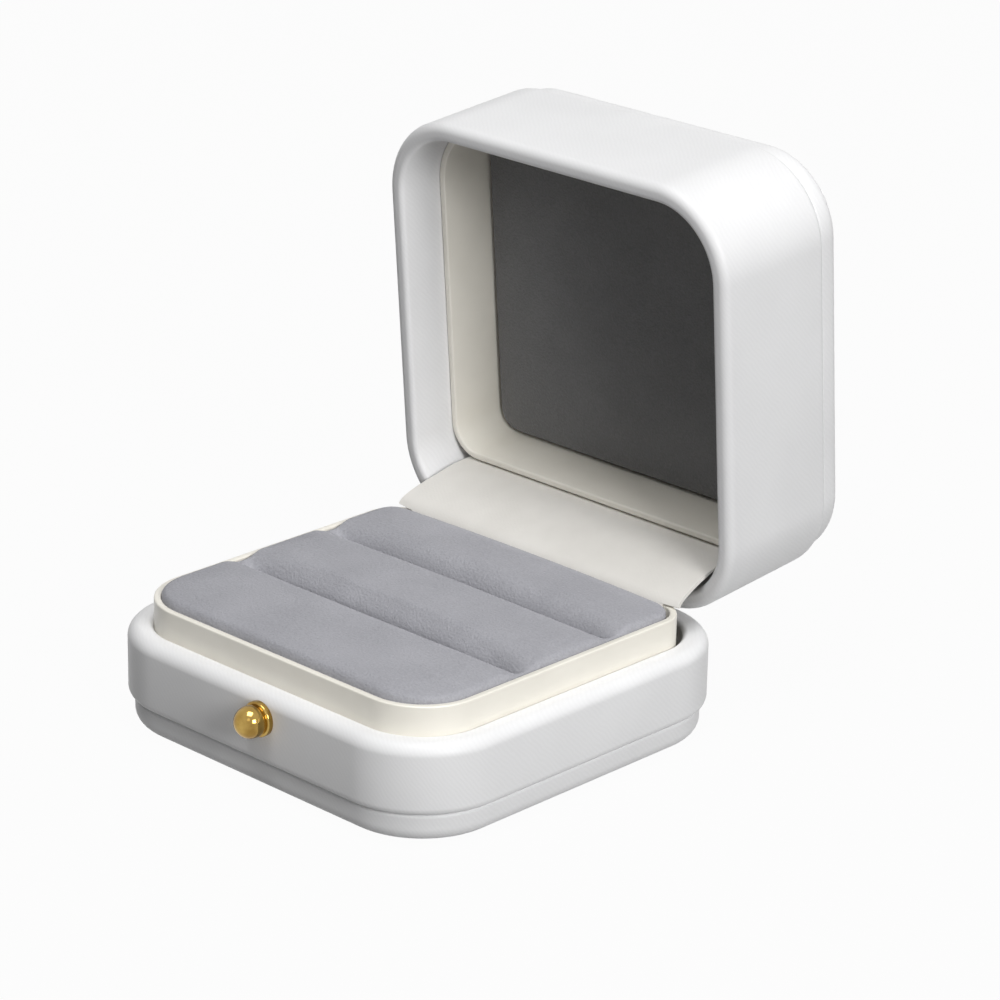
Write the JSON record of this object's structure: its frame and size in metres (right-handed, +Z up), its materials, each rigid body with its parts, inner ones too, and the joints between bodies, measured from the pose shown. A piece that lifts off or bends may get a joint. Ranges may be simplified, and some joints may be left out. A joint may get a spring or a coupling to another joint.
{
  "type": "jewelry box",
  "caption": "Square ring box with rounded corners, a pearl-white leatherette wrap and bull-nose rims, an ivory collar, a slotted grey velvet ring cushion and a padded lid on a snap hinge.",
  "frame": {"origin": "middle of the underside, on the surface that the box stands on", "axes": "+X along the front edge to the right, +Y from the front to the hinge, +Z up, with the lid open"},
  "size_m": [0.072, 0.0986, 0.0869],
  "materials": {
    "pearl_leatherette": "pearl satin with a very fine diagonal emboss",
    "moulded_core": "moulded",
    "ivory_collar": "smooth satin",
    "grey_velvet": "short pile",
    "grey_foam": "open cell",
    "grey_board": "raw",
    "polished_gold": "polished",
    "hinge_steel": "bright plated",
    "ivory_leatherette": "smooth satin"
  },
  "bodies": {
    "base": {"base_core": "moulded_core", "base_cover": "pearl_leatherette", "bottom_panel": "pearl_leatherette", "base_collar": "ivory_collar", "ring_pad_board": "grey_board", "foam_roll_front": "grey_foam", "foam_roll_middle": "grey_foam", "foam_roll_rear": "grey_foam", "ring_pad_velvet": "grey_velvet", "ball_stud": "polished_gold", "stud_ferrule": "polished_gold", "hinge_base_leaf": "hinge_steel", "hinge_pin": "hinge_steel", "snap_spring": "hinge_steel", "hinge_cover": "ivory_leatherette"},
    "lid": {"lid_core": "moulded_core", "lid_cover": "pearl_leatherette", "top_panel": "pearl_leatherette", "lid_collar": "ivory_collar", "lid_pad_board": "grey_board", "lid_pad_velvet": "grey_velvet", "hinge_lid_leaf": "hinge_steel"}
  },
  "joints": [
    {"name": "lid_hinge", "type": "hinge", "parent": "base", "child": "lid", "pos_m": [0, 0.03355, 0.01765], "axis": [1, 0, 0], "range_deg": [0, 85], "deforming": ["hinge_cover", "snap_spring"]}
  ]
}
